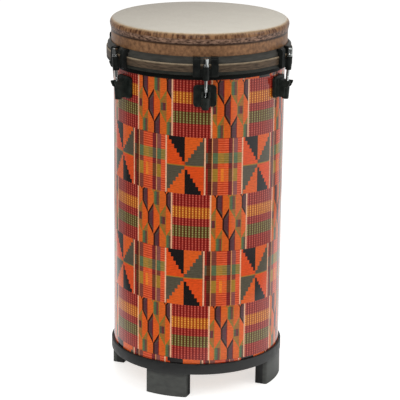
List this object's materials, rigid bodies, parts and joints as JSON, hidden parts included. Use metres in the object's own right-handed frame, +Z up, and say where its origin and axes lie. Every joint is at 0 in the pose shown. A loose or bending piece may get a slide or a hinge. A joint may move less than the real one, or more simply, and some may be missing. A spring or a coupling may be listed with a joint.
{
  "type": "floor-standing tube drum",
  "caption": "Tall cylindrical hand drum with a key-tuned skin head, claw-held tuning hoop, woven-pattern wrap, inner tone tube and a moulded ring of feet.",
  "frame": {"origin": "on the drum's axis, at the floor under the feet", "axes": "+Z up along the drum's axis, X and Y through the gaps between the feet"},
  "size_m": [0.342, 0.3272, 0.633],
  "materials": {
    "shell": "pressed wood fibre, bare inside",
    "wrap": "glossy laminate printed with a woven strip-cloth pattern",
    "rubber": "moulded, matt",
    "bearing_ring": "turned wood fibre",
    "head": "skin-like film with a brown collar",
    "black_steel": "black powder coat",
    "hoop_band": "bronze-brown paint",
    "bare_steel": "zinc plated",
    "chrome": "bright",
    "brass": "turned",
    "board": "fibre board",
    "paper_tube": "wound paper board"
  },
  "bodies": {
    "drum": {"shell": "shell", "shell_wrap": "wrap", "upper_trim_band": "rubber", "foot_ring": "rubber", "baffle_plate": "board", "tone_tube": "paper_tube", "bearing_ring": "bearing_ring", "head_film": "head", "lug_1": "black_steel", "lug_2": "black_steel", "lug_3": "black_steel", "lug_4": "black_steel", "lug_5": "black_steel", "lug_6": "black_steel", "lug_insert_1": "brass", "lug_insert_2": "brass", "lug_insert_3": "brass", "lug_insert_4": "brass", "lug_insert_5": "brass", "lug_insert_6": "brass", "lug_screw_1_lower": "bare_steel", "lug_screw_1_upper": "bare_steel", "lug_screw_2_lower": "bare_steel", "lug_screw_2_upper": "bare_steel", "lug_screw_3_lower": "bare_steel", "lug_screw_3_upper": "bare_steel", "lug_screw_4_lower": "bare_steel", "lug_screw_4_upper": "bare_steel", "lug_screw_5_lower": "bare_steel", "lug_screw_5_upper": "bare_steel", "lug_screw_6_lower": "bare_steel", "lug_screw_6_upper": "bare_steel"},
    "hoop": {"tuning_hoop": "black_steel", "hoop_band": "hoop_band", "flesh_hoop": "bare_steel", "claw_1": "black_steel", "claw_2": "black_steel", "claw_3": "black_steel", "claw_4": "black_steel", "claw_5": "black_steel", "claw_6": "black_steel", "rod_washer_1": "chrome", "rod_washer_2": "chrome", "rod_washer_3": "chrome", "rod_washer_4": "chrome", "rod_washer_5": "chrome", "rod_washer_6": "chrome"},
    "rod_1": {"tuning_rod_1": "chrome"},
    "rod_2": {"tuning_rod_2": "chrome"},
    "rod_3": {"tuning_rod_3": "chrome"},
    "rod_4": {"tuning_rod_4": "chrome"},
    "rod_5": {"tuning_rod_5": "chrome"},
    "rod_6": {"tuning_rod_6": "chrome"}
  },
  "joints": [
    {"name": "hoop_travel", "type": "slide", "parent": "drum", "child": "hoop", "axis": [0, 0, 1], "range_m": [-0.003, 0.003]},
    {"name": "rod_1_turn", "type": "hinge", "parent": "hoop", "child": "rod_1", "pos_m": [0.16461, 0.02696, 0.5813], "axis": [0.0774, 0.0127, 0.9969], "range_deg": [-1030, 1030]},
    {"name": "rod_2_turn", "type": "hinge", "parent": "hoop", "child": "rod_2", "pos_m": [0.05896, 0.15603, 0.5813], "axis": [0.0277, 0.0734, 0.9969], "range_deg": [-1030, 1030]},
    {"name": "rod_3_turn", "type": "hinge", "parent": "hoop", "child": "rod_3", "pos_m": [-0.10565, 0.12908, 0.5813], "axis": [-0.0497, 0.0607, 0.9969], "range_deg": [-1030, 1030]},
    {"name": "rod_4_turn", "type": "hinge", "parent": "hoop", "child": "rod_4", "pos_m": [-0.16461, -0.02696, 0.5813], "axis": [-0.0774, -0.0127, 0.9969], "range_deg": [-1030, 1030]},
    {"name": "rod_5_turn", "type": "hinge", "parent": "hoop", "child": "rod_5", "pos_m": [-0.05896, -0.15603, 0.5813], "axis": [-0.0277, -0.0734, 0.9969], "range_deg": [-1030, 1030]},
    {"name": "rod_6_turn", "type": "hinge", "parent": "hoop", "child": "rod_6", "pos_m": [0.10565, -0.12908, 0.5813], "axis": [0.0497, -0.0607, 0.9969], "range_deg": [-1030, 1030]}
  ],
  "couplings": [
    {"joint": "rod_1_turn", "follows": "hoop_travel", "rad_per_m": 5918.6},
    {"joint": "rod_2_turn", "follows": "hoop_travel", "rad_per_m": 5918.6},
    {"joint": "rod_3_turn", "follows": "hoop_travel", "rad_per_m": 5918.6},
    {"joint": "rod_4_turn", "follows": "hoop_travel", "rad_per_m": 5918.6},
    {"joint": "rod_5_turn", "follows": "hoop_travel", "rad_per_m": 5918.6},
    {"joint": "rod_6_turn", "follows": "hoop_travel", "rad_per_m": 5918.6}
  ]
}
